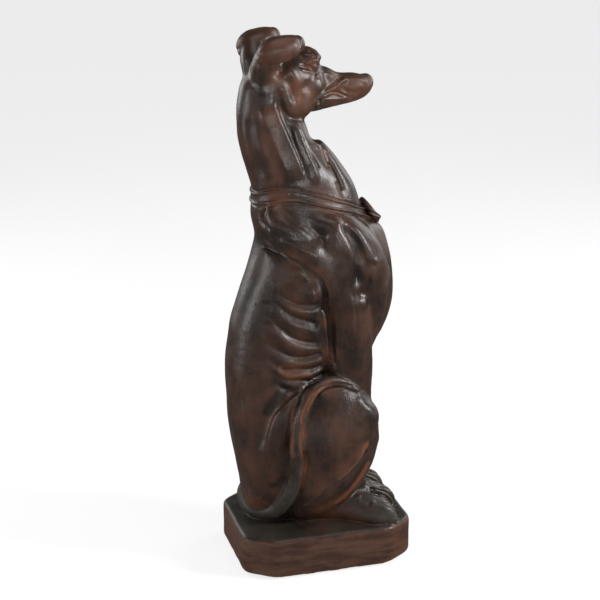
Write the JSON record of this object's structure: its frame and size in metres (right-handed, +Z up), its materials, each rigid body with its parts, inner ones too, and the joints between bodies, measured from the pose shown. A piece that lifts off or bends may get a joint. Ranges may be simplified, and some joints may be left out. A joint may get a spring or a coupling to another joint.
{
  "type": "greyhound statue",
  "caption": "Seated greyhound cast in one with a low plinth with cut corners: collar with round tag, folded ears, tail curled up over the right haunch. Stands on its underside.",
  "frame": {"origin": "middle of the plinth's underside, on the surface it stands on", "axes": "+Z up along the statue's height; the dog faces -Y and its right side, where the tail lies, is -X"},
  "size_m": [0.192, 0.2642, 0.7831],
  "materials": {
    "lacquered_concrete": "dark chocolate brown lacquered concrete, glossy, with reddish brown in the hollows and a grey-green bloom on the tail, paws and plinth top"
  },
  "bodies": {
    "root": {"greyhound_statue": "lacquered_concrete"}
  },
  "joints": []
}
